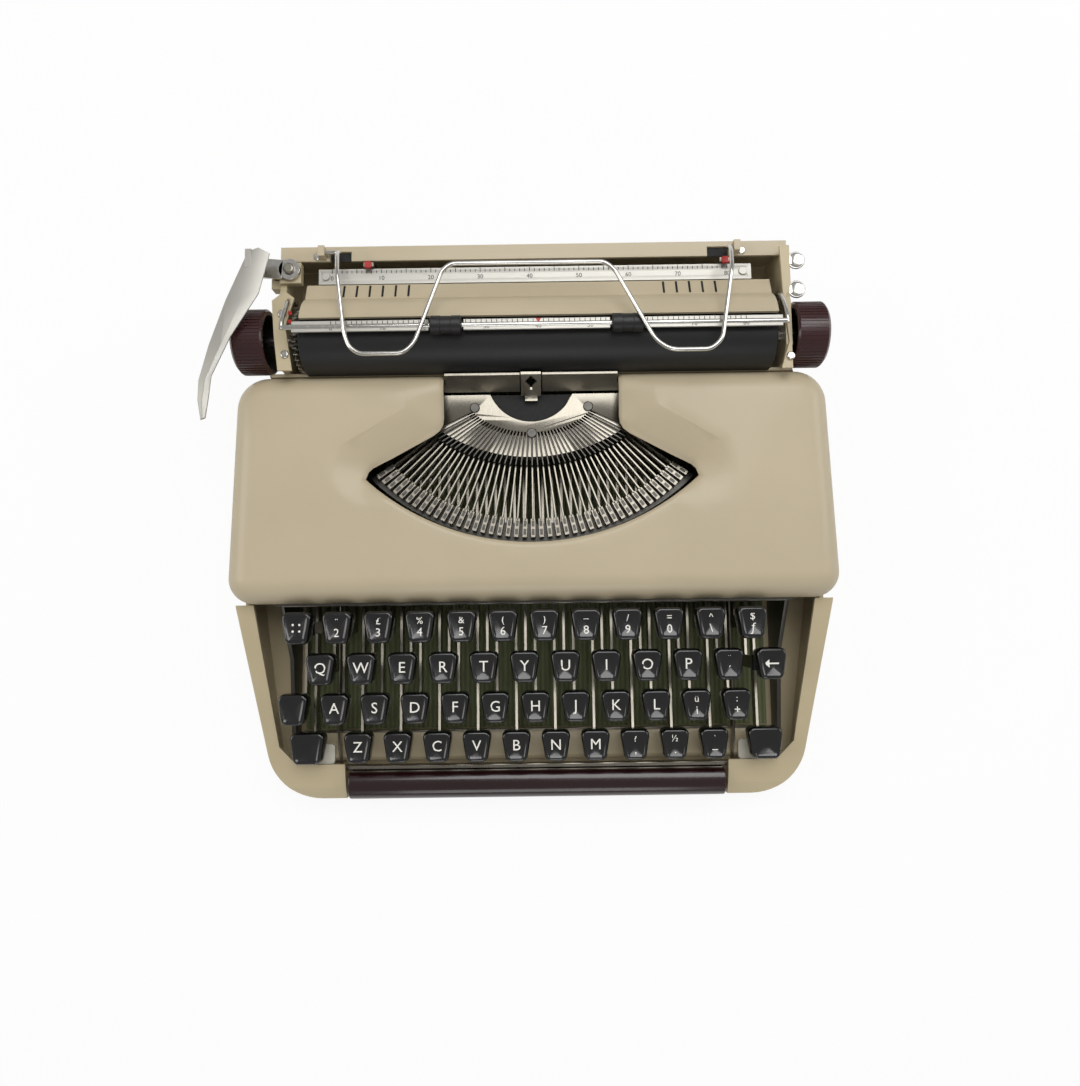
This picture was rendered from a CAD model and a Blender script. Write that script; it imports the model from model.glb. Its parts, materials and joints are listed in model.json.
# %% [markdown]
# # A portable typewriter, finished in Blender
# The model comes in as a fixed frame of named bodies. Every visible piece is
# built in millimetres in the same frame, then rides on the body it moves with.

# %% Load the frame
import json
import math
import bpy
import bmesh
from mathutils import Vector, Matrix, geometry

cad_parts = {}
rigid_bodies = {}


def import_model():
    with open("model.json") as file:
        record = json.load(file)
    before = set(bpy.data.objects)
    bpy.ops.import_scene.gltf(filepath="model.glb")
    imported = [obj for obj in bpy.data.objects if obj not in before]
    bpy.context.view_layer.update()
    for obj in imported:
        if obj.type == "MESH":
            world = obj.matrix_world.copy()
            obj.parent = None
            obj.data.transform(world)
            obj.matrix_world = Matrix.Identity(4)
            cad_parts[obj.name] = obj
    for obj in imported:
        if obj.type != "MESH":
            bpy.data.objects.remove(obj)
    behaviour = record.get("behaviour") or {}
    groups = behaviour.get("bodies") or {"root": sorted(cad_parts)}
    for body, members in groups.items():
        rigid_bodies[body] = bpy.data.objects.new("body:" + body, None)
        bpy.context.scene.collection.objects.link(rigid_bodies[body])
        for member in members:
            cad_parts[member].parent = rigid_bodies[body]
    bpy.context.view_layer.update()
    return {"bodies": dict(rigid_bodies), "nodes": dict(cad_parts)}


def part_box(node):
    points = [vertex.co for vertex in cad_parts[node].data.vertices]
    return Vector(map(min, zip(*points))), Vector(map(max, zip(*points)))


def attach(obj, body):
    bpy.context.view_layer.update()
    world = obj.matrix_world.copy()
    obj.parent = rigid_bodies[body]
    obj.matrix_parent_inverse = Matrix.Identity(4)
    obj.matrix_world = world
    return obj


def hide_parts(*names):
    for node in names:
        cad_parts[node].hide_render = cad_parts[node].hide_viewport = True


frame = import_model()
MM = 0.001
NODES = frame["nodes"]
BODY_OF = {n: next(b for b, e in frame["bodies"].items() if o.parent is e) for n, o in NODES.items()}

# %% [markdown]
# Shader arithmetic reads like ordinary arithmetic when a socket is wrapped in a
# small class. Everything else in a material goes through one method, so each
# material below is only a few lines long.

# %% Shader helpers
class Value:
    """A shader socket that can be added, multiplied and so on."""

    def __init__(self, graph, socket):
        self.graph, self.socket = graph, socket

    def math(self, operation, *args):
        node = self.graph.node("ShaderNodeMath", {"operation": operation}, dict(enumerate(args)))
        return Value(self.graph, node.outputs[0])

    def __add__(self, other): return self.math("ADD", self, other)
    def __sub__(self, other): return self.math("SUBTRACT", self, other)
    def __rsub__(self, other): return self.math("SUBTRACT", other, self)
    def __mul__(self, other): return self.math("MULTIPLY", self, other)
    def __truediv__(self, other): return self.math("DIVIDE", self, other)
    def __rtruediv__(self, other): return self.math("DIVIDE", other, self)
    def __pow__(self, other): return self.math("POWER", self, other)
    def clamp(self): return self.math("MINIMUM", self.math("MAXIMUM", self, 0.0), 1.0)
    def step(self, edge): return self.math("GREATER_THAN", self, edge)
    __radd__, __rmul__ = __add__, __mul__


class Graph:
    """One material: a Principled surface and the nodes that vary it."""

    def __init__(self, name):
        self.material = bpy.data.materials.new(name)
        self.material.use_nodes = True
        self.tree = self.material.node_tree
        self.surface = self.tree.nodes["Principled BSDF"]
        place = self.node("ShaderNodeTexCoord")
        self.place = place.outputs["Object"]

    def node(self, kind, settings=None, inputs=None):
        made = self.tree.nodes.new(kind)
        for key, value in (settings or {}).items():
            setattr(made, key, value)
        for key, value in (inputs or {}).items():
            if isinstance(value, Value):
                value = value.socket
            if isinstance(value, bpy.types.NodeSocket):
                self.tree.links.new(value, made.inputs[key])
            else:
                made.inputs[key].default_value = value
        return made

    def noise(self, scale, detail=3.0, stretch=(1, 1, 1)):
        moved = self.node("ShaderNodeMapping", {}, {"Vector": self.place, "Scale": stretch})
        made = self.node("ShaderNodeTexNoise", {}, {"Vector": moved.outputs[0], "Scale": scale, "Detail": detail})
        return Value(self, made.outputs[0])

    def blend(self, factor, one, two):
        made = self.node("ShaderNodeMix", {"data_type": "RGBA"}, {"Factor": factor, "A": one, "B": two})
        return made.outputs["Result"]

    def set(self, **inputs):
        for key, value in inputs.items():
            name = key.replace("_", " ")
            if isinstance(value, Value):
                value = value.socket
            if isinstance(value, bpy.types.NodeSocket):
                self.tree.links.new(value, self.surface.inputs[name])
            else:
                self.surface.inputs[name].default_value = value
        return self

    def bump(self, height, distance, strength=0.6):
        made = self.node("ShaderNodeBump", {}, {"Height": height, "Distance": distance, "Strength": strength})
        return self.set(Normal=made.outputs[0])


def shade(rgb, factor=1.0):
    """An sRGB colour, 0 to 255, as the linear colour that a shader wants."""
    linear = [((c / 255 + 0.055) / 1.055) ** 2.4 if c > 10 else c / 255 / 12.92 for c in rgb]
    return (*[min(1.0, c * factor) for c in linear], 1.0)


def finish(name, rgb, rough, metallic=0.0, vary=0.12, wear=None, grain=400, bump=0.00003, stretch=(1, 1, 1), coat=0.0):
    """A painted, moulded or metal surface: slight colour drift, uneven gloss, fine relief."""
    g = Graph(name)
    broad = g.noise(18, 4)
    fine = g.noise(grain, 3, stretch)
    colour = g.blend((broad * 1.6 - 0.3).clamp(), shade(rgb, 1 - vary), shade(rgb, 1 + vary))
    if wear:
        specks = (g.noise(grain * 0.35, 5) * 6 - 3.9).clamp()
        colour = g.blend(specks * 0.5, colour, shade(wear))
    g.set(Base_Color=colour, Roughness=(fine * 0.16 + broad * 0.12 + (rough - 0.14)).clamp(), Metallic=metallic)
    if coat:
        g.set(Coat_Weight=coat, Coat_Roughness=0.08)
    return g.bump(fine, bump).material

# %% [markdown]
# The body is sprayed with a fine-grained beige enamel. The real paint has a
# faint orange-peel skin and a drift of colour, so noise drives all three.

# %% Materials
ENAMEL = finish("enamel_beige", (186, 173, 146), 0.46, vary=0.05, grain=1500, bump=0.00006, coat=0.12)
ENAMEL_BASE = finish("enamel_rim", (187, 173, 141), 0.46, vary=0.05, grain=1500, bump=0.00006, coat=0.12)
BLACK = finish("cap_gloss_black", (9, 9, 10), 0.2, vary=0.25, grain=900, bump=0.00002, coat=0.5)
MAROON = finish("knob_maroon", (52, 17, 19), 0.3, vary=0.25, grain=900, bump=0.00002, coat=0.3)
BAR = finish("bar_maroon", (34, 10, 14), 0.22, vary=0.2, grain=700, bump=0.00003, coat=0.3)
CHROME = finish("chrome", (205, 203, 198), 0.18, 1.0, vary=0.08, wear=(120, 112, 100), grain=700, bump=0.000005)
STEEL = finish("bright_steel", (146, 141, 130), 0.3, 1.0, vary=0.14, wear=(88, 80, 68), grain=700,
               bump=0.00001, stretch=(6, 0.4, 1))
DARK_STEEL = finish("dark_steel", (92, 90, 86), 0.42, 1.0, vary=0.2, wear=(40, 34, 28), grain=600, bump=0.00002)
ALUMINIUM = finish("scale_metal", (176, 174, 167), 0.42, 0.7, vary=0.05, grain=900, bump=0.000006, stretch=(0.3, 6, 1))
RUBBER = finish("platen_rubber", (15, 16, 17), 0.45, vary=0.2, wear=(46, 45, 44), grain=1200, bump=0.00004)
FOOT_RUBBER = finish("foot_rubber", (30, 30, 30), 0.75, vary=0.2, grain=900, bump=0.00006)
PALE = finish("pale_plastic", (232, 228, 214), 0.4, vary=0.04, grain=900, bump=0.00002)
INK = finish("legend_white", (236, 234, 226), 0.5, vary=0.03, grain=900, bump=0.00001)
DARK_INK = finish("scale_ink", (22, 20, 20), 0.6, vary=0.1, grain=900, bump=0.00001)
RED = finish("red_paint", (176, 30, 26), 0.4, vary=0.12, grain=900, bump=0.00002)
CLOTH = finish("ribbon_cloth", (20, 19, 22), 0.9, vary=0.3, grain=2500, bump=0.00008)
SHADOW = finish("black_recess", (12, 12, 12), 0.7, vary=0.2, grain=600, bump=0.00004)


def felt():
    """Ribbed wool felt: a wave makes the ribs and noise makes the fibres."""
    g = Graph("felt_green")
    ribs = g.node("ShaderNodeTexWave", {"bands_direction": "X"}, {"Vector": g.place, "Scale": 130.0, "Distortion": 0.5})
    rib = Value(g, ribs.outputs["Fac"])
    fibre = g.noise(1800, 4)
    mixed = (rib * 0.5 + fibre * 0.7).clamp()
    g.set(Base_Color=g.blend(mixed, shade((74, 82, 56)), shade((122, 128, 92))), Roughness=0.95)
    return g.bump(mixed, 0.0003, 0.8).material


FELT = felt()
print(len(bpy.data.materials), "materials")

# %% [markdown]
# Mesh helpers. Each piece is collected in a small sketch that keeps vertices in
# millimetres and remembers which finish each face has.

# %% Mesh helpers
class Sketch:
    """Vertices in millimetres, faces, and a finish for each face."""

    def __init__(self):
        self.points, self.faces, self.slots, self.finishes = [], [], [], []

    def add(self, points, faces, material):
        if material not in self.finishes:
            self.finishes.append(material)
        start = len(self.points)
        self.points += [tuple(p) for p in points]
        self.faces += [[start + i for i in f] for f in faces]
        self.slots += [self.finishes.index(material)] * len(faces)
        return self

    def loft(self, rings, material, caps=True, closed=True):
        """Skins neighbouring rings of points, which run anticlockwise seen from the last ring."""
        n = len(rings[0])
        faces = [[r * n + i, r * n + (i + 1) % n, (r + 1) * n + (i + 1) % n, (r + 1) * n + i]
                 for r in range(len(rings) - 1) for i in range(n if closed else n - 1)]
        if caps:
            faces += [list(range(n))[::-1], [(len(rings) - 1) * n + i for i in range(n)]]
        return self.add([p for ring in rings for p in ring], faces, material)

    def prism(self, outline, z0, z1, material):
        return self.loft([[(x, y, z) for x, y in outline] for z in (z0, z1)], material)

    def box(self, x0, x1, y0, y1, z0, z1, material):
        return self.prism([(x0, y0), (x1, y0), (x1, y1), (x0, y1)], z0, z1, material)

    def along_x(self, x0, x1, profile, material):
        """Extrudes a profile of (y, z) points from x0 to x1."""
        return self.loft([[(x, y, z) for y, z in profile] for x in (x0, x1)], material)

    def lathe_x(self, profile, y, z, material, sides=64, caps=True):
        """Turns a profile of (x, radius) points around an axis along X."""
        rings = [[(x, y + r * math.cos(a), z + r * math.sin(a))
                  for a in (2 * math.pi * i / sides for i in range(sides))] for x, r in profile]
        return self.loft(rings, material, caps)

    def lathe_z(self, profile, x, y, material, sides=40, caps=True):
        rings = [[(x + r * math.cos(a), y + r * math.sin(a), z)
                  for a in (2 * math.pi * i / sides for i in range(sides))] for r, z in profile]
        return self.loft(rings, material, caps)

    def tube(self, path, radius, material, sides=14):
        """A round bar along a path."""
        pts = [Vector(p) for p in path]
        tangents = [(pts[min(i + 1, len(pts) - 1)] - pts[max(i - 1, 0)]).normalized() for i in range(len(pts))]
        side = tangents[0].cross(Vector((0.01, 0.02, 1))).normalized()
        rings = []
        for p, t in zip(pts, tangents):
            side = (side - t * side.dot(t)).normalized()
            up = t.cross(side)
            rings.append([tuple(p + radius * (math.cos(a) * side + math.sin(a) * up))
                          for a in (2 * math.pi * i / sides for i in range(sides))])
        return self.loft(rings, material)

    def merge(self, other, move=(0, 0, 0)):
        for k, material in enumerate(other.finishes):
            faces = [f for f, s in zip(other.faces, other.slots) if s == k]
            used = sorted({i for f in faces for i in f})
            index = {v: n for n, v in enumerate(used)}
            self.add([tuple(a + b for a, b in zip(other.points[i], move)) for i in used],
                     [[index[i] for i in f] for f in faces], material)
        return self

    def piece(self, name, body, replaces=(), bevel=0.0, angle=35, slot=None, segments=2, fix=True):
        mesh = bpy.data.meshes.new(name)
        mesh.from_pydata([tuple(c * MM for c in p) for p in self.points], [], self.faces)
        for material in self.finishes:
            mesh.materials.append(material)
        mesh.polygons.foreach_set("material_index", self.slots)
        if fix:
            bm = bmesh.new()
            bm.from_mesh(mesh)
            bmesh.ops.recalc_face_normals(bm, faces=bm.faces)
            bm.to_mesh(mesh)
            bm.free()
        return settle(mesh, name, body, replaces, bevel, angle, segments)


def settle(mesh, name, body, replaces=(), bevel=0.0, angle=35, segments=2):
    """Puts a finished mesh in the scene, smooths it and makes it ride on its body."""
    mesh.shade_smooth()
    mesh.set_sharp_from_angle(angle=math.radians(angle))
    made = bpy.data.objects.new(name, mesh)
    bpy.context.scene.collection.objects.link(made)
    if bevel:
        edge = made.modifiers.new("edge", "BEVEL")
        edge.width, edge.segments, edge.limit_method = bevel * MM, segments, "ANGLE"
        edge.angle_limit = math.radians(angle)
        edge.harden_normals = False
    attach(made, body)
    if replaces:
        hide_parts(*replaces)
    return made


def refine(node, material, bevel=0.3, angle=35, segments=2):
    """A copy of a plain node with its flat faces joined up and its edges rounded."""
    mesh = NODES[node].data.copy()
    mesh.name = node + "_finished"
    bm = bmesh.new()
    bm.from_mesh(mesh)
    bmesh.ops.remove_doubles(bm, verts=bm.verts, dist=0.00001)
    bmesh.ops.dissolve_limit(bm, angle_limit=math.radians(1), verts=bm.verts, edges=bm.edges)
    bm.to_mesh(mesh)
    bm.free()
    mesh.materials.clear()
    mesh.materials.append(material)
    mesh.polygons.foreach_set("material_index", [0] * len(mesh.polygons))
    return settle(mesh, node + "_finished", BODY_OF[node], [node], bevel, angle, segments)


LETTERING = {}


def lettering(text, size):
    """Flat outlines of a short text, centred, as (points, faces) in millimetres."""
    if (text, size) not in LETTERING:
        curve = bpy.data.curves.new("lettering", "FONT")
        curve.body, curve.size, curve.align_x, curve.align_y = text, size, "CENTER", "CENTER"
        curve.resolution_u = 3
        holder = bpy.data.objects.new("lettering", curve)
        bpy.context.scene.collection.objects.link(holder)
        mesh = bpy.data.meshes.new_from_object(holder.evaluated_get(bpy.context.evaluated_depsgraph_get()))
        LETTERING[text, size] = ([tuple(v.co) for v in mesh.vertices], [list(p.vertices) for p in mesh.polygons])
        bpy.data.objects.remove(holder)
        bpy.data.meshes.remove(mesh)
    return LETTERING[text, size]


def rounded(corners, steps=6):
    """A closed outline through circles given as (x, y, radius), in anticlockwise order."""
    outline = []
    n = len(corners)
    for i, (x, y, r) in enumerate(corners):
        before, after = corners[i - 1], corners[(i + 1) % n]
        a0 = math.atan2(y - before[1], x - before[0]) - math.pi / 2
        a1 = math.atan2(after[1] - y, after[0] - x) - math.pi / 2
        a1 += 2 * math.pi * math.ceil((a0 - a1) / (2 * math.pi) - 1e-9)
        outline += [(x + r * math.cos(a0 + (a1 - a0) * k / steps), y + r * math.sin(a0 + (a1 - a0) * k / steps))
                    for k in range(steps + 1)]
    return outline


def repeater():
    """A node group that repeats one object: so many copies, a step and a turn between them."""
    group = bpy.data.node_groups.new("repeat", "GeometryNodeTree")
    face = group.interface
    for name, kind in (("Geometry", "Geometry"), ("Count", "Int"), ("Start", "Vector"), ("Step", "Vector"),
                       ("Turn", "Vector"), ("Jitter", "Float"), ("Seed", "Int"), ("Copy", "Object"),
                       ("Finish", "Material")):
        face.new_socket(name, in_out="INPUT", socket_type="NodeSocket" + kind)
    face.new_socket("Geometry", in_out="OUTPUT", socket_type="NodeSocketGeometry")
    new, link = group.nodes.new, group.links.new
    source, result = new("NodeGroupInput"), new("NodeGroupOutput")
    line, copies, thing = new("GeometryNodeMeshLine"), new("GeometryNodeInstanceOnPoints"), new("GeometryNodeObjectInfo")
    index, turn, random = new("GeometryNodeInputIndex"), new("ShaderNodeVectorMath"), new("FunctionNodeRandomValue")
    wobble, real, finish_node = new("ShaderNodeVectorMath"), new("GeometryNodeRealizeInstances"), new("GeometryNodeSetMaterial")
    turn.operation, wobble.operation = "SCALE", "ADD"
    random.data_type = "FLOAT_VECTOR"
    negative = new("ShaderNodeMath")
    negative.operation = "MULTIPLY"
    negative.inputs[1].default_value = -1.0
    link(source.outputs["Count"], line.inputs["Count"])
    link(source.outputs["Start"], line.inputs["Start Location"])
    link(source.outputs["Step"], line.inputs["Offset"])
    link(source.outputs["Turn"], turn.inputs[0])
    link(index.outputs[0], turn.inputs["Scale"])
    link(source.outputs["Jitter"], negative.inputs[0])
    link(negative.outputs[0], random.inputs["Min"])
    link(source.outputs["Jitter"], random.inputs["Max"])
    link(source.outputs["Seed"], random.inputs["Seed"])
    link(turn.outputs[0], wobble.inputs[0])
    link(random.outputs[0], wobble.inputs[1])
    link(source.outputs["Copy"], thing.inputs[0])
    link(line.outputs[0], copies.inputs["Points"])
    link(thing.outputs["Geometry"], copies.inputs["Instance"])
    link(wobble.outputs[0], copies.inputs["Rotation"])
    link(copies.outputs[0], real.inputs[0])
    link(real.outputs[0], finish_node.inputs["Geometry"])
    link(source.outputs["Finish"], finish_node.inputs["Material"])
    link(finish_node.outputs[0], result.inputs[0])
    return group


REPEAT = repeater()


def repeated(sketch, material, count, step=(0, 0, 0), turn=(0, 0, 0), start=(0, 0, 0), jitter=0.0, seed=7):
    """Repeats a small sketch with the node group and returns the copies as a new sketch."""
    mesh = bpy.data.meshes.new("copy")
    mesh.from_pydata([tuple(c * MM for c in p) for p in sketch.points], [], sketch.faces)
    copy, holder = bpy.data.objects.new("copy", mesh), bpy.data.objects.new("holder", bpy.data.meshes.new("holder"))
    for o in (copy, holder):
        bpy.context.scene.collection.objects.link(o)
    modifier = holder.modifiers.new("repeat", "NODES")
    modifier.node_group = REPEAT
    values = {"Count": count, "Start": [c * MM for c in start], "Step": [c * MM for c in step], "Turn": list(turn),
              "Jitter": float(jitter), "Seed": seed, "Copy": copy, "Finish": material}
    for item in REPEAT.interface.items_tree:
        if item.in_out == "INPUT" and item.name in values:
            modifier[item.identifier] = values[item.name]
    made = bpy.data.meshes.new_from_object(holder.evaluated_get(bpy.context.evaluated_depsgraph_get()))
    result = Sketch().add([tuple(c / MM for c in v.co) for v in made.vertices], [list(p.vertices) for p in made.polygons],
                          material)
    for o in (copy, holder):
        bpy.data.objects.remove(o)
    bpy.data.meshes.remove(made)
    return result


print("helpers ready")

# %% [markdown]
# The camera looks straight down from about forty centimetres, a little turned,
# so near things such as the key tops look larger than the table around them.

# %% Camera, light and floor
t, roll, yaw = 0.09295, -0.01388, -0.00214
forward, up, right = Vector((0, math.sin(t), -math.cos(t))), Vector((0, math.cos(t), math.sin(t))), Vector((1, 0, 0))
forward, right = (math.cos(yaw) * forward + math.sin(yaw) * right, math.cos(yaw) * right - math.sin(yaw) * forward)
right, up = (math.cos(roll) * right + math.sin(roll) * up, math.cos(roll) * up - math.sin(roll) * right)
camera = bpy.data.objects.new("camera", bpy.data.cameras.new("camera"))
camera.data.lens, camera.data.sensor_width, camera.data.clip_start = 26.43, 36.0, 0.01
camera.matrix_world = Matrix.Translation((0.003984, -0.042828, 0.420632)) @ Matrix(
    (right, up, -forward)).transposed().to_4x4()
bpy.context.scene.collection.objects.link(camera)
bpy.context.scene.camera = camera
bpy.context.scene.view_settings.view_transform = "Standard"


def softbox(name, place, size, power, colour=(1, 1, 1)):
    """A square lamp that points at the middle of the machine."""
    lamp = bpy.data.lights.new(name, "AREA")
    lamp.size, lamp.energy, lamp.color = size, power, colour
    made = bpy.data.objects.new(name, lamp)
    made.location = place
    made.rotation_euler = (Vector((0, 0, 0.03)) - Vector(place)).to_track_quat("-Z", "Y").to_euler()
    bpy.context.scene.collection.objects.link(made)


softbox("overhead", (0.15, 0.5, 1.2), 0.8, 8)
softbox("left", (-1.2, 0.1, 0.8), 0.7, 4.5, (1.0, 0.98, 0.95))
softbox("right", (1.2, 0.3, 0.7), 0.6, 3.5)
softbox("front", (0.0, -1.3, 0.7), 0.6, 2.5)
world = bpy.data.worlds.new("studio")
bpy.context.scene.world = world
world.use_nodes = True
world.node_tree.nodes["Background"].inputs["Color"].default_value = (1.0, 0.99, 0.97, 1)
world.node_tree.nodes["Background"].inputs["Strength"].default_value = 0.36


def paper_floor():
    g = Graph("floor_white")
    path = g.node("ShaderNodeLightPath")
    glow = g.node("ShaderNodeEmission", {}, {"Color": (1, 1, 1, 1), "Strength": 1.0})
    g.set(Base_Color=g.blend(g.noise(30), (0.86, 0.86, 0.85, 1), (0.9, 0.9, 0.9, 1)), Roughness=0.9)
    seen = Value(g, path.outputs["Is Camera Ray"])
    mixed = g.node("ShaderNodeMixShader", {}, {0: seen * 0.9, 1: g.surface.outputs[0], 2: glow.outputs[0]})
    g.tree.links.new(mixed.outputs[0], g.tree.nodes["Material Output"].inputs["Surface"])
    return g.material


floor_mesh = bpy.data.meshes.new("floor")
floor_mesh.from_pydata([(-4, -4, -0.0002), (4, -4, -0.0002), (4, 4, -0.0002), (-4, 4, -0.0002)], [], [(0, 1, 2, 3)])
floor_mesh.materials.append(paper_floor())
floor = bpy.data.objects.new("floor", floor_mesh)
bpy.context.scene.collection.objects.link(floor)
print("camera at", [round(v, 3) for v in camera.location])

# %% [markdown]
# The top cover is one pressing with a large roll along its outer edge and a
# crescent cut out over the typebars. A height function gives the roll and the
# dished facets, and a triangulated plan of rings and grid points carries it.

# %% Top cover
def arc(cx, cy, r, a0, a1, steps):
    return [(cx + r * math.cos(math.radians(a0 + (a1 - a0) * i / steps)),
             cy + r * math.sin(math.radians(a0 + (a1 - a0) * i / steps))) for i in range(steps + 1)]


COVER_CORNERS = [(-131.5, -23, 12), (131.5, -23, 12), (123, 55.5, 16), (-123, 55.5, 16)]


def cover_ring(inset):
    """The cover's outline moved inwards, with points about five millimetres apart."""
    ring = rounded([(x, y, max(r - inset, 0.05)) for x, y, r in COVER_CORNERS], 10)
    dense = []
    for i, (x, y) in enumerate(ring):
        nx, ny = ring[(i + 1) % len(ring)]
        parts = max(1, round(math.hypot(nx - x, ny - y) / 5))
        dense += [(x + (nx - x) * k / parts, y + (ny - y) * k / parts) for k in range(parts)]
    return dense


def gap_to(point, line, closed=True):
    """Distance from a point to a chain of points."""
    best, (px, py) = 1e9, point
    for i in range(len(line) if closed else len(line) - 1):
        (ax, ay), (bx, by) = line[i], line[(i + 1) % len(line)]
        dx, dy = bx - ax, by - ay
        length = dx * dx + dy * dy
        k = 0 if length < 1e-12 else max(0.0, min(1.0, ((px - ax) * dx + (py - ay) * dy) / length))
        best = min(best, math.hypot(px - ax - k * dx, py - ay - k * dy))
    return best


def inside(point, line):
    x, y = point
    odd = False
    for i in range(len(line)):
        (ax, ay), (bx, by) = line[i - 1], line[i]
        if (ay > y) != (by > y) and x < (bx - ax) * (y - ay) / (by - ay) + ax:
            odd = not odd
    return odd


TIP = math.degrees(math.asin(77.5 / 114.4))
CRESCENT = arc(0, 106.2, 114.4, -90 - TIP, -90 + TIP, 72)
OPENING = CRESCENT + [(76.5, 25.6), (74.5, 27.6), (71, 29.4), (66, 31.8), (46, 42.4), (43, 44.8), (41.4, 47.6), (41, 51), (41, 90),
                      (-41, 90), (-41, 51), (-41.4, 47.6), (-43, 44.8), (-46, 42.4), (-66, 31.8), (-71, 29.4), (-74.5, 27.6), (-76.5, 25.6)]
RING_0 = rounded([(x, y, r) for x, y, r in COVER_CORNERS], 10)
EDGE = [p for p in OPENING if abs(p[0]) > 40.5 or p[1] < 60]
SHOULDERS = [[(s * 41.0, 76.0), (s * 41.0, 47.0), (s * 76.0, 27.5)] for s in (-1, 1)]


def cover_height(x, y):
    top = 56.0 + 6.0 * min(1.0, max(0.0, (y + 23) / 92))
    d = gap_to((x, y), RING_0)
    if d < 12:
        top += math.sqrt(max(0.0, 144 - (12 - d) ** 2)) - 12
    if abs(x) > 39:
        s = gap_to((x, y), SHOULDERS[x > 0], closed=False)
        if s < 17 and d > 1:
            top -= 6.0 * (1 - s / 17) ** 1.15 * min(1.0, d / 14)
    e = gap_to((x, y), EDGE)
    if e < 2.4:
        top -= 1.3 * (1 - e / 2.4) ** 2
    return top


def grown(line, by):
    """The opening's outline moved outwards into the sheet."""
    moved = []
    for i, (x, y) in enumerate(line):
        (ax, ay), (bx, by_) = line[i - 1], line[(i + 1) % len(line)]
        tx, ty = bx - ax, by_ - ay
        length = math.hypot(tx, ty) or 1
        moved.append((x + ty / length * by, y - tx / length * by))
    return moved


points, edges = [], []
for inset in (0, 0.25, 0.9, 2, 3.6, 5.6, 8, 10.2, 12):
    ring = cover_ring(inset)
    edges += [(len(points) + i, len(points) + (i + 1) % len(ring)) for i in range(len(ring))]
    points += ring
for by in (0, 0.35, 0.9, 1.6, 2.6):
    ring = grown(OPENING, by)
    edges += [(len(points) + i, len(points) + (i + 1) % len(ring)) for i in range(len(ring))]
    points += ring
for s in (-1, 1):
    fold = [(s * 56.5, 70.0), (s * 56.5, 55.5), (s * 88, 37.5), (s * 90.5, 30)]
    edges += [(len(points) + i, len(points) + i + 1) for i in range(len(fold) - 1)]
    points += fold
    points += [(s * (14 + 4.6 * i), -20 + 4.6 * j) for i in range(26) for j in range(20)
               if gap_to((s * (14 + 4.6 * i), -20 + 4.6 * j), RING_0) > 13.5
               and gap_to((s * (14 + 4.6 * i), -20 + 4.6 * j), OPENING) > 3.4
               and not inside((s * (14 + 4.6 * i), -20 + 4.6 * j), OPENING)]
plan, _, faces, *_ = geometry.delaunay_2d_cdt([Vector(p) for p in points], edges, [], 0, 1e-5)
plan = [(p.x, p.y) for p in plan]
kept = []
for f in faces:
    middle = (sum(plan[i][0] for i in f) / 3, sum(plan[i][1] for i in f) / 3)
    if inside(middle, RING_0) and not inside(middle, OPENING):
        kept.append(list(f))
used = sorted({i for f in kept for i in f})
index = {v: n for n, v in enumerate(used)}
cover = Sketch().add([(*plan[i], cover_height(*plan[i])) for i in used], [[index[i] for i in f] for f in kept], ENAMEL)


def skirt_bottom(x, y):
    if y < -30 and abs(x) < 133.2:
        return 43.9
    if y > 66 and abs(x) < 124.5:
        return 54.0
    return 28.0


mesh = bpy.data.meshes.new("cover_pressing")
mesh.from_pydata(cover.points, [], cover.faces)
bm = bmesh.new()
bm.from_mesh(mesh)
bmesh.ops.recalc_face_normals(bm, faces=bm.faces)
if sum(f.normal.z for f in bm.faces) < 0:
    bmesh.ops.reverse_faces(bm, faces=bm.faces)
rim = [e for e in bm.edges if e.is_boundary and all(gap_to((v.co.x, v.co.y), RING_0) < 0.2 for v in e.verts)
       and not all(abs(v.co.x) < 41.5 and v.co.y > 60 and abs(abs(v.co.x) - 41) < 0.4 for v in e.verts)]
for v in {v for e in rim for v in e.verts}:
    v.co.z = min(v.co.z, cover_height(v.co.x, v.co.y))
low = bmesh.ops.extrude_edge_only(bm, edges=rim)
for v in (g for g in low["geom"] if isinstance(g, bmesh.types.BMVert)):
    v.co.z = skirt_bottom(v.co.x, v.co.y)
for v in bm.verts:
    v.co *= MM
bmesh.ops.recalc_face_normals(bm, faces=bm.faces)
if sum(f.normal.z * f.calc_area() for f in bm.faces) < 0:
    bmesh.ops.reverse_faces(bm, faces=bm.faces)
bm.to_mesh(mesh)
bm.free()
mesh.materials.append(ENAMEL)
top_cover = settle(mesh, "cover_pressing", "cover", ["top_cover"], angle=28)
thick = top_cover.modifiers.new("sheet", "SOLIDIFY")
thick.thickness, thick.offset = 1.5 * MM, -1
soft = top_cover.modifiers.new("edge", "BEVEL")
soft.width, soft.segments, soft.limit_method, soft.angle_limit = 0.35 * MM, 2, "ANGLE", math.radians(50)
print("cover:", len(kept), "faces in plan")

# %% [markdown]
# The lower housing is a second pressing. Its outer top edge has a soft round,
# and the keyboard well inside it is floored with glued green felt.

# %% Lower housing and well
housing = refine("lower_housing", ENAMEL_BASE, 0.5, segments=3)


def curve_edge(z0, z1, inset, steps=6):
    return [(z0 + (z1 - z0) * math.sin(math.pi / 2 * i / steps), inset * (1 - math.cos(math.pi / 2 * i / steps)))
            for i in range(steps + 1)]


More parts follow.
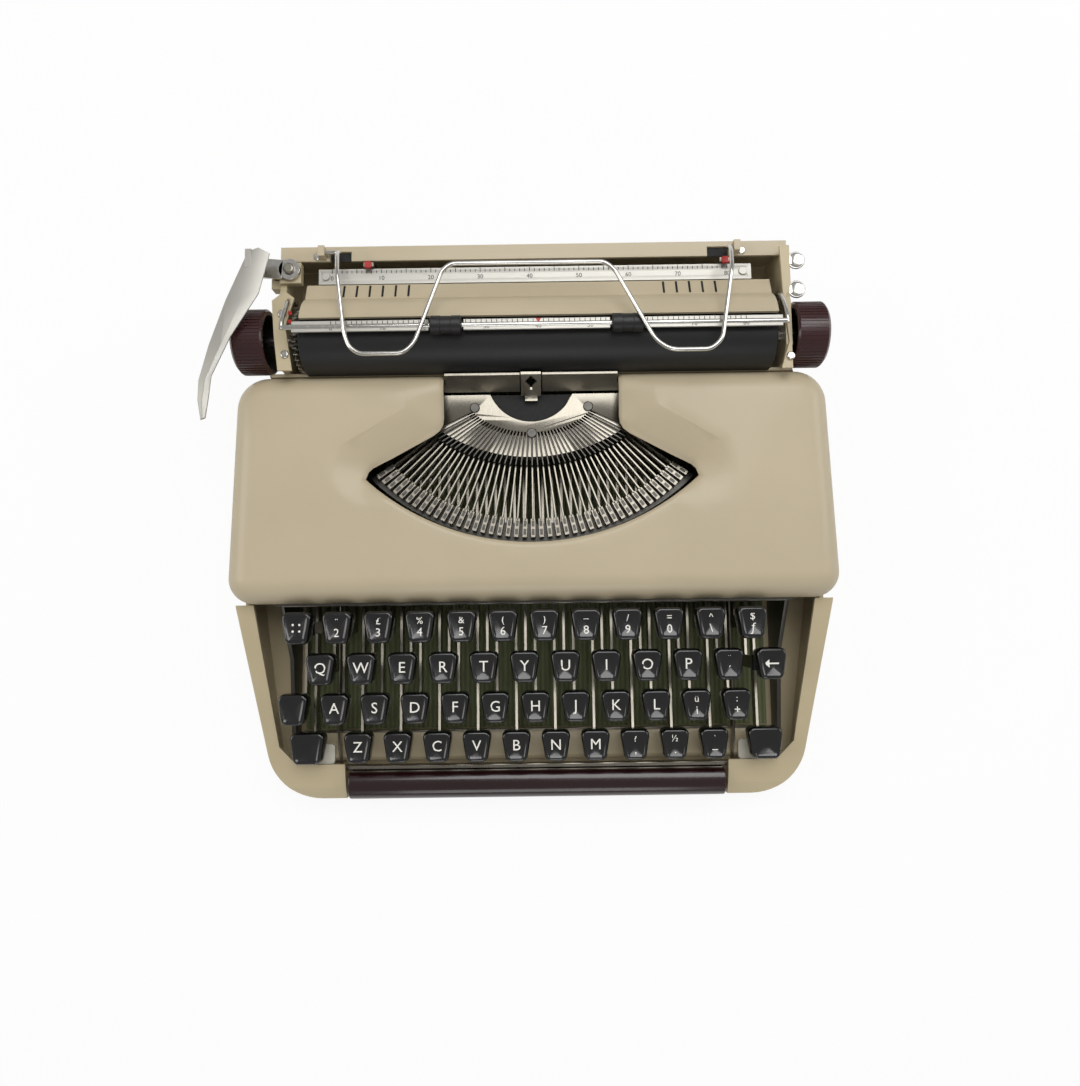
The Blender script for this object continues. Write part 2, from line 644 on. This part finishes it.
felt_pad = Sketch().box(-118, 118, -109, 96, 4.55, 4.95, FELT)
felt_pad = felt_pad.piece("felt_lining", "frame", bevel=0.1)
pan = Sketch()
pan.along_x(-117.5, 117.5, [(-113, 5.4), (-98.2, 5.4), (-98.2, 12.2), (-99.4, 12.8), (-111.4, 12.8), (-113, 11.6)], ENAMEL_BASE)
pan.along_x(-114.5, 114.5, [(-99.2, 12.4), (-98.0, 12.4), (-98.0, 13.9), (-99.2, 13.9)], STEEL)
for s in (-1, 1):
    x0, x1 = sorted((s * 100.5, s * 111.5))
    pan.prism(rounded([(x0 + 2, -112.4, 2), (x1 - 2, -112.4, 2), (x1 - 2, -106.4, 2), (x0 + 2, -106.4, 2)]), 12.8, 15.4, PALE)
pan.piece("well_front", "frame", bevel=0.3)

comb = Sketch()
tooth = Sketch().prism(rounded([(-0.35, -0.9, 0.2), (0.35, -0.9, 0.2), (0.35, 0.9, 0.2), (-0.35, 0.9, 0.2)], 2), 0, 7, STEEL)
comb.merge(repeated(tooth, STEEL, 47, step=(4.7625, 0, 0), start=(-109.5, -33.4, 31.0), jitter=0.02))
comb.piece("lever_comb", "frame")
strip = Sketch()
strip.along_x(-119.5, 119.5, [(-36.4, 41.0), (-29.6, 41.0), (-29.6, 42.4), (-36.0, 42.4), (-36.4, 42.0)], STEEL)
strip.piece("lip_strip", "frame", bevel=0.15)
print("well dressed")

# %% [markdown]
# Each key is a moulded cap on a flat steel lever. The cap is a rounded
# trapezoid, wider at the back, with a pale worn rim and a dished top. The
# legend is laid on the dish, so it curves with the cap.

# %% Keys
LEVER_PITCH, FULCRUM = 19.05 / 4, (100.0, 14.0)
LETTER_ROWS = ["qwertyuiop", "asdfghjkl", "", "zxcvbnm"]
FIGURES = {2: ("2", '"'), 6: ("3", "£"), 10: ("4", "%"), 14: ("5", "&"), 18: ("6", "("), 22: ("7", ")"),
           26: ("8", "–"), 30: ("9", "/"), 34: ("0", "="), 38: ("\\", "^"), 42: ("ƒ", "$"), 40: ("´", "¨"),
           37: ("i", "ü"), 41: ("+", ":"), 31: (",", "?"), 35: (".", "½"), 39: ("–", "'")}
ROW_OF = (2, 3, 1, 4)


def row_place(row):
    return -104.2 + 19.3 * (4 - row), 31.5 + 7.8 * (4 - row)


def lever_height(y):
    return FULCRUM[1] + 0.02 * (FULCRUM[0] - y)


def cap_outline(x, y, w, d, inset, taper=1.4):
    r = max(3.2 - inset, 0.8)
    back, side = max(w / 2 - inset - r, 0.02), max(d / 2 - inset - r, 0.02)
    front = max(back - taper, 0.02)
    return rounded([(x - front, y - side, r), (x + front, y - side, r), (x + back, y + side, r), (x - back, y + side, r)], 5)


def dish(px, py, x, y, w, d, depth):
    """How far the dish lies below the rim at a point on the cap."""
    u, v = (px - x) / (w / 2 - 1.6), (py - y) / (d / 2 - 1.6)
    return depth * max(0.0, 1 - u * u) * max(0.0, 1 - v * v * 0.85)


def key(sketch, x, cap_x, row, w=14.0, d=15.0, legend=(), depth=0.95):
    y, top = row_place(row)
    base = top - 7.5
    y1, z0 = y - 3, lever_height(y)
    sketch.along_x(x - 0.6, x + 0.6, [(FULCRUM[0], 11), (y1, z0 - 3), (y1, base + 0.5), (y + 3, base + 0.5),
                                      (y + 3, z0 + 3.4), (y + 4, z0 + 3), (FULCRUM[0], 17)], STEEL)
    sketch.along_x(x - 1.5, x + 1.5, [(y - 3.6, base - 2.6), (y + 3.6, base - 2.6), (y + 3.6, base + 0.4), (y - 3.6, base + 0.4)],
                   SHADOW)
    rings = []
    for inset, z in ((0.5, 0), (0.15, 0.5), (0, 1.4), (0.12, 5.9), (0.35, 6.7), (0.75, 7.2), (1.2, 7.42), (1.6, 7.5),
                     (2.0, None), (2.8, None), (3.8, None), (5.0, None), (6.0, None)):
        ring = cap_outline(cap_x, y, w, d, inset)
        if z is None:
            rings.append([(px, py, top - 0.06 - dish(px, py, cap_x, y, w, d, depth)) for px, py in ring])
        else:
            rings.append([(px, py, base + z) for px, py in ring])
    sketch.loft(rings, BLACK)
    for text, dx, dy, size in legend:
        flat, faces = lettering(text, size) if isinstance(text, str) else text
        raised = [(cap_x + dx + px, y + dy + py,
                   top + 0.08 - dish(cap_x + dx + px, y + dy + py, cap_x, y, w, d, depth)) for px, py, _ in flat]
        sketch.add(raised, faces, INK)
    return sketch


ARROW = ([(-3.6, 0, 0), (-1.2, 1.9, 0), (-1.2, 0.35, 0), (3.4, 0.35, 0), (3.4, -0.35, 0), (-1.2, -0.35, 0), (-1.2, -1.9, 0)],
         [[0, 6, 5, 4, 3, 2, 1]])
signs = Sketch()
for k in range(43):
    x, row, column = (k - 21) * LEVER_PITCH, ROW_OF[k % 4], k // 4
    if column < len(LETTER_ROWS[k % 4]):
        letter = LETTER_ROWS[k % 4][column]
        made = key(Sketch(), x, x, row, legend=[(letter.upper(), 0, 0.2, 7.2)])
        made.piece("letter_" + letter, "key_" + letter, ["key_" + letter], angle=40, slot="cap_black")
    else:
        low, high = FIGURES[k]
        key(signs, x, x, row, legend=[(low, 0, -2.6, 5.4), (high, 0, 2.7, 4.6)])
signs.piece("figure_key_set", "frame", ["figure_keys"], angle=40, slot="cap_black")
dots = [(u, v) for u in (-1.5, 1.5) for v in (-1.5, 1.5)]
four = ([(u + 0.55 * math.cos(a), v + 0.55 * math.sin(a), 0) for u, v in dots for a in [i * math.pi / 4 for i in range(8)]],
        [list(range(8 * i, 8 * i + 8)) for i in range(4)])
key(Sketch(), -104.5, -109, 1, legend=[(four, 0, 0, 1)]).piece("margin_release_key", "margin_release", ["margin_release"],
                                                              angle=40, slot="cap_black")
key(Sketch(), 104.8, 110.2, 2, 14.5, legend=[(ARROW, 0, 0, 1)]).piece("backspace_key", "backspace", ["backspace"], angle=40,
                                                                     slot="cap_black")
key(Sketch(), -114, -115, 3, 14.5).piece("shift_lock_key", "shift_lock", ["shift_lock"], angle=40, slot="cap_black")
shift = Sketch()
for s in (-1, 1):
    key(shift, s * 109, s * 110.2, 4, 17, 15.5)
shift.box(-109, 109, 107, 110, 12, 16, STEEL)
for s in (-1, 1):
    shift.box(s * 109 - 0.6, s * 109 + 0.6, 99, 108, 12, 16, STEEL)
shift.piece("shift_key_pair", "shift", ["shift_keys"], angle=40, slot="cap_black")

# %% [markdown]
# The space bar is a long maroon moulding with a rounded front. A profile
# extruded along X and softly bevelled is all that it needs.

# %% Space bar
bar = Sketch()
profile = [(-131, 13), (-131, 16.4), (-130.4, 18.4), (-129.2, 20.2), (-127.6, 21.6), (-125.6, 22.3), (-123.4, 22.5),
           (-121, 22.3), (-119, 21.6), (-117.8, 20.3), (-117.5, 18.5), (-117.5, 13)]
bar.along_x(-92.4, 92.4, profile, BAR)
arm = 20.5 * LEVER_PITCH
bar.box(-arm - 0.6, arm + 0.6, -117.5, -115, 11, 15, STEEL)
for s in (-1, 1):
    bar.along_x(s * arm - 0.6, s * arm + 0.6, [(100, 11), (-104.2, lever_height(-104.2) - 3.5), (-117, 11), (-117, 15), (-112.2, 15),
                                             (-104.2, lever_height(-104.2) + 2), (100, 17)], STEEL)
bar.piece("space_bar_moulding", "space_bar", ["space_bar"], bevel=0.8, segments=3, slot="bar_maroon")

# %% [markdown]
# Forty-three typebars rest in a fan. Each has a thin bar in its slot, a slimmer
# arm and a slug with two raised characters. One function places a bar by angle.

# %% Typebars and segment
def fan(a, rx, ry):
    return rx * math.sin(math.radians(a)), 70 - ry * math.cos(math.radians(a))


def bar_between(sketch, a, b, width, z0, z1, material, z0b=None, z1b=None):
    dx, dy = b[0] - a[0], b[1] - a[1]
    k = width / 2 / math.hypot(dx, dy)
    ends = [[(p[0] - dy * k, p[1] + dx * k), (p[0] + dy * k, p[1] - dx * k)] for p in (a, b)]
    levels = [(z0, z1), (z0 if z0b is None else z0b, z1 if z1b is None else z1b)]
    rings = [[(*l, lo), (*r, lo), (*r, hi), (*l, hi)] for (l, r), (lo, hi) in zip(ends, levels)]
    return sketch.loft(rings, material)


bars = Sketch()
for i in range(43):
    a = -53 + i * 106 / 42
    bar_between(bars, fan(a, 38, 27), fan(a, 60, 41), 0.7, 42.2, 47.4, DARK_STEEL)
    bar_between(bars, fan(a, 59, 40.4), fan(a, 84, 67), 0.85, 40.5, 44.1, STEEL)
    slug_a, slug_b = fan(a, 83, 66), fan(a, 92.7, 75)
    bar_between(bars, slug_a, slug_b, 2.3, 38.7, 44.1, STEEL)
    for k0, k1 in ((0.12, 0.42), (0.56, 0.86)):
        ends = [tuple(p + (q - p) * k for p, q in zip(slug_a, slug_b)) for k in (k0, k1)]
        bar_between(bars, *ends, 1.3, 44.0, 44.3, DARK_STEEL)
bars.piece("typebar_set", "frame", ["typebars"], slot="type_steel", bevel=0.12, segments=1)
refine("type_segment", STEEL, 0.15, segments=1)
disc = Sketch()
disc.prism([(x, y) for x, y in arc(0, 71, 20.6, 180 + 22, 360 - 22, 30)], 46.6, 46.9, SHADOW)
for x, y in ((-27, 57), (27, 57), (0, 44.5)):
    disc.lathe_z([(2.4, 46.8), (2.4, 48.4), (2.0, 48.8)], x, y, DARK_STEEL, 24)
disc.piece("segment_disc", "frame")

# %% [markdown]
# The type guide stands in front of the platen with the card holder on both
# sides of it. Pale ticks on the holder line the paper up with the typing.

# %% Type guide
refine("type_guide", STEEL, 0.12, segments=1)
holder = Sketch()
slope = (58 - 48.2) / (71 - 66)
for s in (-1, 1):
    for i in range(16):
        x = s * (7 + i * 2.2)
        z0, z1 = 55.4, 56.6 + (0.8 if i % 5 == 0 else 0)
        rise = [(66.0 + (z - 48.2) / slope - 0.75, z) for z in (z0, z1)]
        holder.loft([[(x + dx, y, z) for y, z in rise] for dx in (-0.2, 0.2)]
                    and [[(x - 0.2, rise[0][0], z0), (x + 0.2, rise[0][0], z0), (x + 0.2, rise[0][0] + 0.3, z0), (x - 0.2, rise[0][0] + 0.3, z0)],
                         [(x - 0.2, rise[1][0], z1), (x + 0.2, rise[1][0], z1), (x + 0.2, rise[1][0] + 0.3, z1), (x - 0.2, rise[1][0] + 0.3, z1)]], INK)
holder.piece("card_ticks", "frame")

# %% [markdown]
# The platen is a hard rubber roller on a steel shaft. Its knobs are ribbed
# maroon mouldings: one rib is drawn and the node group turns it round the knob.

# %% Platen and knobs
PLATEN = (87.4, 56.6)
roller = Sketch().lathe_x([(-105, 3.1), (-105, 15.4), (-104.4, 16), (111.4, 16), (112, 15.4), (112, 3.1)], *PLATEN, RUBBER, 96)
roller.lathe_x([(-105.4, 12.5), (-105.05, 14.2), (-105.0, 14.2)], *PLATEN, ALUMINIUM, 48)
roller.piece("platen_roller", "platen", ["platen"], slot="platen_rubber")
shaft = Sketch().lathe_x([(-134.5, 3), (134.5, 3)], *PLATEN, CHROME, 32)
shaft.lathe_x([(-108.0, 11.8), (-106.1, 11.8)], *PLATEN, DARK_STEEL, 48)
tooth = Sketch().loft([[(x, r, z) for r, z in ((11.4, -0.9), (14.4, -0.25), (14.4, 0.25), (11.4, 0.9))] for x in (-108.1, -106.1)], STEEL)
teeth = repeated(tooth, STEEL, 30, turn=(2 * math.pi / 30, 0, 0))
shaft.merge(teeth, (0, *PLATEN))
shaft.lathe_x([(-106, 8.6), (-105.0, 9)], *PLATEN, STEEL, 32)
shaft.piece("platen_axle", "platen", ["platen_shaft"], slot="bright_steel", bevel=0.1, segments=1)
knobs = Sketch()
for s in (-1, 1):
    knobs.lathe_x([(s * 121.6, 12.6), (s * 121.6, 14.2), (s * 122.4, 14.8), (s * 135.2, 14.8), (s * 136.4, 13.4),
                   (s * 136.4, 3.1), (s * 128.6, 3.1), (s * 128.6, 12.2)], *PLATEN, MAROON, 96, caps=False)
    knobs.lathe_x([(s * 121.8, 12.5), (s * 128.4, 12.3), (s * 128.4, 3.1)], *PLATEN, SHADOW, 48, caps=False)
    rib = Sketch().loft([[(x, r, z) for r, z in ((14.4, -0.42), (15.1, -0.26), (15.1, 0.26), (14.4, 0.42))] for x in (s * 122.4, s * 134.8)], MAROON)
    knobs.merge(repeated(rib, MAROON, 56, turn=(2 * math.pi / 56, 0, 0)), (0, *PLATEN))
knobs.piece("ribbed_knobs", "platen", ["platen_knobs"], slot="knob_maroon")

# %% [markdown]
# Sheet parts of the carriage: end plates with folded flanges, a paper table
# with pressed grooves, and a rear cover. The scales are printed on metal, so
# their marks are thin inked strips repeated along the bar.

# %% Carriage
refine("carriage_frame", ENAMEL_BASE, 0.4)
flanges = Sketch()
flanges.prism([(-118.3, 103.5), (-117.2, 87), (-115.2, 70.5), (-108.6, 70.5), (-111.9, 91), (-108, 104.6), (-112.5, 108)], 66.1, 67.3, ENAMEL_BASE)
flanges.prism([(115.3, 126.5), (119.9, 126.5), (119.9, 107.5), (117.4, 102), (119.4, 81), (119.4, 68.5), (114.2, 68.5),
               (118.2, 81), (116.2, 102)], 66.1, 67.1, ENAMEL_BASE)
for x, y in ((-113.5, 97), (-111.9, 78), (118.4, 74)):
    flanges.lathe_z([(1.9, 67.2), (1.9, 68.0), (1.5, 68.4)], x, y, CHROME, 24)
flanges.box(-119.6, -116.2, 116, 124, 60.05, 61.2, SHADOW)
for i in range(2):
    flanges.box(-110.6, -108.9, 92.5 + i * 4, 94.3 + i * 4, 67.3, 67.6, RED)
flanges.piece("end_plate_flanges", "carriage", bevel=0.3)
refine("rear_cover", ENAMEL, 0.45)
slots = Sketch()
for x in (-88, 88):
    slots.box(x - 4.6, x + 4.6, 124.2, 128.2, 60.9, 61.3, SHADOW)
    slots.lathe_z([(1.7, 62.5), (1.7, 63.1), (1.3, 63.5)], x + (11 if x > 0 else -11), 126.2, CHROME, 20)
slots.piece("rear_cover_fittings", "carriage")
refine("paper_table", ENAMEL, 0.35)
apron = Sketch()
turns = [math.radians(a) for a in range(16, 77, 4)]
outer = [(87.4 + 19.1 * math.cos(a), 56.6 + 19.1 * math.sin(a)) for a in turns]
inner_arc = [(87.4 + 17.7 * math.cos(a), 56.6 + 17.7 * math.sin(a)) for a in turns]
apron.along_x(-103.4, 111.4, outer + inner_arc[::-1], ENAMEL)
apron.piece("paper_apron", "carriage", bevel=0.25)
grooves = Sketch()
tilt = (62.4 - 65.6) / (112.4 - 104.6)
for x in (-86, -80, -74, -68, -62, -56, 62, 68, 74, 80, 86):
    y0, y1 = 105.4, 111.8
    grooves.loft([[(x - 0.5, y, z), (x + 0.5, y, z), (x + 0.3, y, z + 0.22), (x - 0.3, y, z + 0.22)]
                  for y, z in ((y0, 65.6 + tilt * (y0 - 104.6)), (y1, 65.6 + tilt * (y1 - 104.6)))], SHADOW)
grooves.piece("paper_table_grooves", "carriage")


def scale(sketch, x0, y, z, pitch, marks, size, figure_y, long_mark, short_mark):
    """Printed marks with a figure at every tenth."""
    for length, every in ((short_mark, 1), (long_mark, 5)):
        mark = Sketch().prism([(-0.16, 0), (0.16, 0), (0.16, length), (-0.16, length)], 0, 0.07, DARK_INK)
        sketch.merge(repeated(mark, DARK_INK, marks // every + 1, step=(pitch * every, 0, 0), start=(x0, y, z)))
    for n in range(0, marks + 1, 10):
        flat, faces = lettering(str(n), size)
        sketch.add([(x0 + n * pitch + px, figure_y + py, z + 0.07) for px, py, _ in flat], faces, DARK_INK)


refine("margin_scale", ALUMINIUM, 0.2)
printed = Sketch()
scale(printed, -92.2, 118.4, 61.42, 2.306, 80, 2.9, 116.0, 2.0, 1.3)
printed.piece("margin_scale_print", "carriage")
for side in ("left", "right"):
    node = "margin_stop_" + side
    low, high = (Vector(p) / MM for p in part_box(node))
    middle = (low.x + high.x) / 2
    stop = Sketch().box(middle - 2.5, middle + 2.5, 121.0, 123.2, 59, 63, STEEL)
    stop.prism([(middle - 1.5, 119.8), (middle + 1.5, 119.8), (middle + 1.5, 123), (middle - 1.5, 123)], 63, 64.6, RED)
    stop.piece(node + "_finished", node, [node], slot="stop_metal", bevel=0.3)

# %% [markdown]
# The bail carries the upper scale and two small rubber rollers. The bent wire
# behind it props the sheet, and its bends are rounded by a smooth curve.

# %% Bail and wire support
bail = Sketch()
cuts = [-106, -44.7, -29.7, 36.0, 51.0, 112.5]
bail.box(-106, -44.9, 84.6, 89.6, 76.4, 77.5, ALUMINIUM)
bail.box(-29.5, 35.8, 84.6, 89.6, 76.4, 77.5, ALUMINIUM)
bail.box(51.2, 112.5, 84.6, 89.6, 76.4, 77.5, ALUMINIUM)
bail.tube([(-110.5, 87, 77), (114.6, 87, 77)], 1.15, CHROME)
for x in (-110.5, 114.6):
    bail.tube([(x, 86, 77), (x, 88.6, 77), (x, 90.4, 76.6), (x, 92.2, 75.7), (x, 101, 69.8), (x, 103.4, 67.4), (x, 104.6, 64.6), (x, 106, 57)], 1.0, CHROME)
bail.tube([(-115.5, 106, 57), (-109.5, 106, 57)], 1.45, STEEL)
bail.tube([(113.6, 106, 57), (119.5, 106, 57)], 1.45, STEEL)
bail.piece("bail_bar", "paper_bail", ["paper_bail"], slot="scale_metal", bevel=0.2)
printed = Sketch()
for n in range(0, 81):
    x = -88.4 + 2.306 * n
    if x < -45.2 or -29.2 < x < 35.5 or x > 51.6:
        printed.box(x - 0.16, x + 0.16, 87.9 if n % 5 else 87.2, 89.3, 77.5, 77.58, DARK_INK)
        if n % 10 == 0:
            flat, faces = lettering(str(n), 2.8)
            printed.add([(x + px, 85.95 + py, 77.58) for px, py, _ in flat], faces, DARK_INK)
x = -88.4 + 2.306 * 40
printed.add([(x - 1.2, 89.5, 77.6), (x + 1.2, 89.5, 77.6), (x, 87.3, 77.6)], [[0, 2, 1]], RED)
printed.piece("bail_scale_print", "paper_bail")
small = Sketch()
for x in (-37.2, 43.5):
    small.lathe_x([(x - 7, 1.25), (x - 7, 3.7), (x - 6.5, 4.2), (x - 2.6, 4.2), (x - 2.3, 3.9), (x + 2.3, 3.9), (x + 2.6, 4.2),
                   (x + 6.5, 4.2), (x + 7, 3.7), (x + 7, 1.25)], 87, 77, RUBBER, 40)
small.piece("bail_roller_pair", "bail_rollers", ["bail_rollers"], slot="rubber")


def smoothed(path, radius, steps=6):
    """The path with each inner bend replaced by a curve that starts and ends radius away."""
    pts = [Vector(p) for p in path]
    out = [pts[0]]
    for a, b, c in zip(pts, pts[1:], pts[2:]):
        r = min(radius, (b - a).length * 0.45, (c - b).length * 0.45)
        p, q = b + (a - b).normalized() * r, b + (c - b).normalized() * r
        out += [(1 - k) ** 2 * p + 2 * k * (1 - k) * b + k * k * q for k in (i / steps for i in range(steps + 1))]
    return out + [pts[-1]]


wire = Sketch()
wire.tube(smoothed([(-97.4, 127, 65), (-87.5, 127, 65), (-86.5, 122, 75), (-84.5, 110, 82.5), (-81.3, 82.1, 82.5), (-79, 75.8, 82.5),
                    (-74.6, 72.6, 82.5), (-55.5, 72.6, 82.5), (-50.5, 77.1, 82.5), (-38.4, 109.8, 82.5), (-34.1, 112.9, 82.5),
                    (33.3, 112.8, 82.5), (37.9, 109, 82.5), (55, 76.9, 82.5), (61.5, 72.6, 82.5), (79.2, 72.6, 82.5),
                    (84.2, 77.2, 82.5), (89.4, 110, 82.5), (91, 122, 75), (92, 127, 65), (97.4, 127, 65)], 3.5), 0.98, CHROME, 12)
wire.piece("wire_support", "paper_support", ["paper_support"], slot="wire_chrome", angle=60)

# %% [markdown]
# The return lever is a folded blade: a ridge along it catches the light. It
# pivots on a small link plate at the carriage's left end.

# %% Return lever and tabs
lever = Sketch()
lever.lathe_z([(5, 64.2), (5, 66.0)], -111, 119, CHROME, 32)
bar_between(lever, (-114, 119), (-125, 120), 9, 64.2, 66, CHROME)
lever.lathe_z([(2.6, 66.0), (2.6, 67.0), (2.0, 67.5)], -111, 119, STEEL, 24)
lever.box(-128, -125, 115.5, 124.5, 64.2, 75.6, ALUMINIUM)
blade = [(-127, 123.5), (-136.6, 100.9), (-143.7, 80.2), (-147.8, 64.3), (-148, 55.2), (-146.4, 46.1)]
inner = [(-117, 122.5), (-116.5, 115), (-129.7, 91.5), (-137.4, 77.8), (-142.4, 65.1), (-143.1, 55.1), (-144.2, 47)]
ridge_from = [(-122, 125), (-128.2, 101.5), (-137.6, 80.8), (-144.4, 64.6), (-145.6, 55.2), (-145.3, 46.4)]
left = [(-127, 123.5), (-136.6, 100.9), (-143.7, 80.2), (-147.8, 64.3), (-148, 55.2), (-146.4, 46.1)]
right_side = [(-117, 122.5), (-121.6, 104), (-133.8, 84.2), (-142.0, 66.1), (-143.1, 55.1), (-144.2, 47)]
rings = []
for (lx, ly), (mx, my), (rx, ry) in zip(left, ridge_from, right_side):
    rings.append([(lx, ly, 74.2), (rx, ry, 74.2), (rx, ry, 74.8), (mx, my, 75.7), (lx, ly, 74.8)])
lever.loft(rings, ALUMINIUM)
lever.piece("return_lever_blade", "return_lever", ["return_lever"], slot="lever_metal", bevel=0.25)
for node, x, y in (("carriage_release", 124.8, 122), ("paper_release", 124.5, 108)):
    tab = Sketch().lathe_z([(3.9, 60.0), (4.2, 60.3), (4.2, 60.9), (3.8, 61.2), (2.6, 60.75)], x, y, CHROME, 36)
    tab.box(120.4, x - 2, y - 1.9, y + 1.9, 60.1, 61.1, CHROME)
    tab.box(120.4, 121.4, y - 1.9, y + 1.9, 52.2, 61.1, CHROME)
    tab.piece(node + "_tab", node, [node], slot="lever_metal", bevel=0.15)
print("carriage dressed")

# %% [markdown]
# The remaining hidden or simple parts keep the shape they came with. Their
# edges are rounded a little, because no real edge is perfectly sharp.

# %% The remaining nodes
REST = {
    "rubber_feet": (FOOT_RUBBER, 0.4, "rubber"), "chassis": (DARK_STEEL, 0.2, "frame_steel"),
    "key_fulcrum": (STEEL, 0.2, "bright_steel"), "carriage_rail": (STEEL, 0.3, "bright_steel"),
    "spool_left": (DARK_STEEL, 0.3, "spool_metal"), "spool_right": (DARK_STEEL, 0.3, "spool_metal"),
    "feed_rollers": (RUBBER, 0.3, "platen_rubber"), "ribbon": (CLOTH, 0.0, "ribbon_ink"),
}
FALLBACK = {"housing": ENAMEL_BASE, "rubber": FOOT_RUBBER, "frame_steel": DARK_STEEL, "bright_steel": STEEL,
            "segment_steel": STEEL, "type_steel": STEEL, "cap_black": BLACK, "bar_maroon": BAR, "knob_maroon": MAROON,
            "platen_rubber": RUBBER, "ribbon_ink": CLOTH, "spool_metal": DARK_STEEL, "scale_metal": ALUMINIUM,
            "lever_metal": ALUMINIUM, "wire_chrome": CHROME, "stop_metal": STEEL}
for node, (material, width, slot_name) in REST.items():
    refine(node, material, width)
for node, o in NODES.items():
    if not o.hide_render:
        refine(node, STEEL, 0.3)
        print("generic:", node)
print("every node has a finish")
